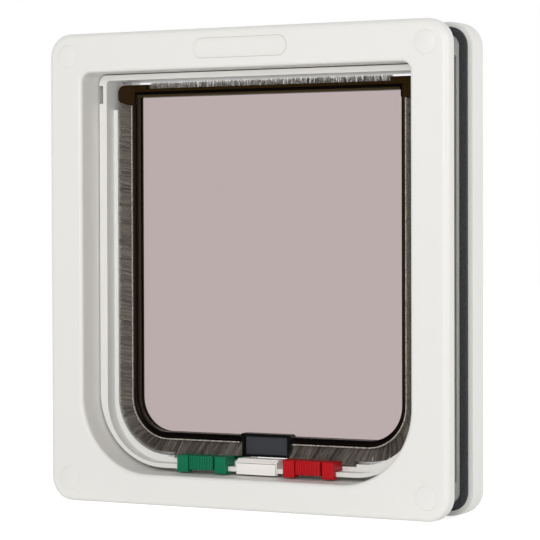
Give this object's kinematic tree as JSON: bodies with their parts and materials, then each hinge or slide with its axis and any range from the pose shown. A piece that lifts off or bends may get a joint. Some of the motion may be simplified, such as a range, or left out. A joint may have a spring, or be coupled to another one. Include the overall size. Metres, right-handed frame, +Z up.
{
  "type": "pet door",
  "caption": "Pet door for a door leaf: white inside and outside frames that nest through the cut-out, a smoked flap with brush edges and a magnet, and coloured sliders that lock it.",
  "frame": {"origin": "middle of the depth and width, at the lower edge of both frames", "axes": "+Z up, +X to the right seen from inside the house, +Y from the inside face to the outside"},
  "size_m": [0.235, 0.0486, 0.25],
  "materials": {
    "white_plastic": "moulded, satin",
    "smoked_plastic": "clear, smoke tint",
    "black_plastic": "moulded",
    "seal_foam": "closed-cell foam",
    "screw_steel": "zinc plated",
    "ferrite": "ground ferrite",
    "brush_pile": "grey pile",
    "green_plastic": "moulded",
    "red_plastic": "moulded"
  },
  "bodies": {
    "frame": {"inside_frame": "white_plastic", "outside_frame": "white_plastic", "weather_seal": "seal_foam", "fixing_screws": "screw_steel", "screw_caps": "white_plastic", "magnet_housing": "white_plastic", "frame_magnet": "ferrite"},
    "flap": {"flap_panel": "smoked_plastic", "magnet_carrier": "black_plastic", "flap_magnet": "ferrite", "hinge_pin_left": "screw_steel", "hinge_pin_right": "screw_steel", "brush_left": "brush_pile", "brush_right": "brush_pile", "brush_top": "brush_pile"},
    "exit_lock": {"exit_lock_slider": "green_plastic"},
    "entry_lock": {"entry_lock_slider": "red_plastic"}
  },
  "joints": [
    {"name": "flap_hinge", "type": "hinge", "parent": "frame", "child": "flap", "pos_m": [0, 0.00775, 0.218], "axis": [1, 0, 0], "range_deg": [-90, 90]},
    {"name": "exit_lock_slide", "type": "slide", "parent": "frame", "child": "exit_lock", "axis": [1, 0, 0], "range_m": [0, 0.0025]},
    {"name": "entry_lock_slide", "type": "slide", "parent": "frame", "child": "entry_lock", "axis": [-1, 0, 0], "range_m": [0, 0.0025]}
  ]
}
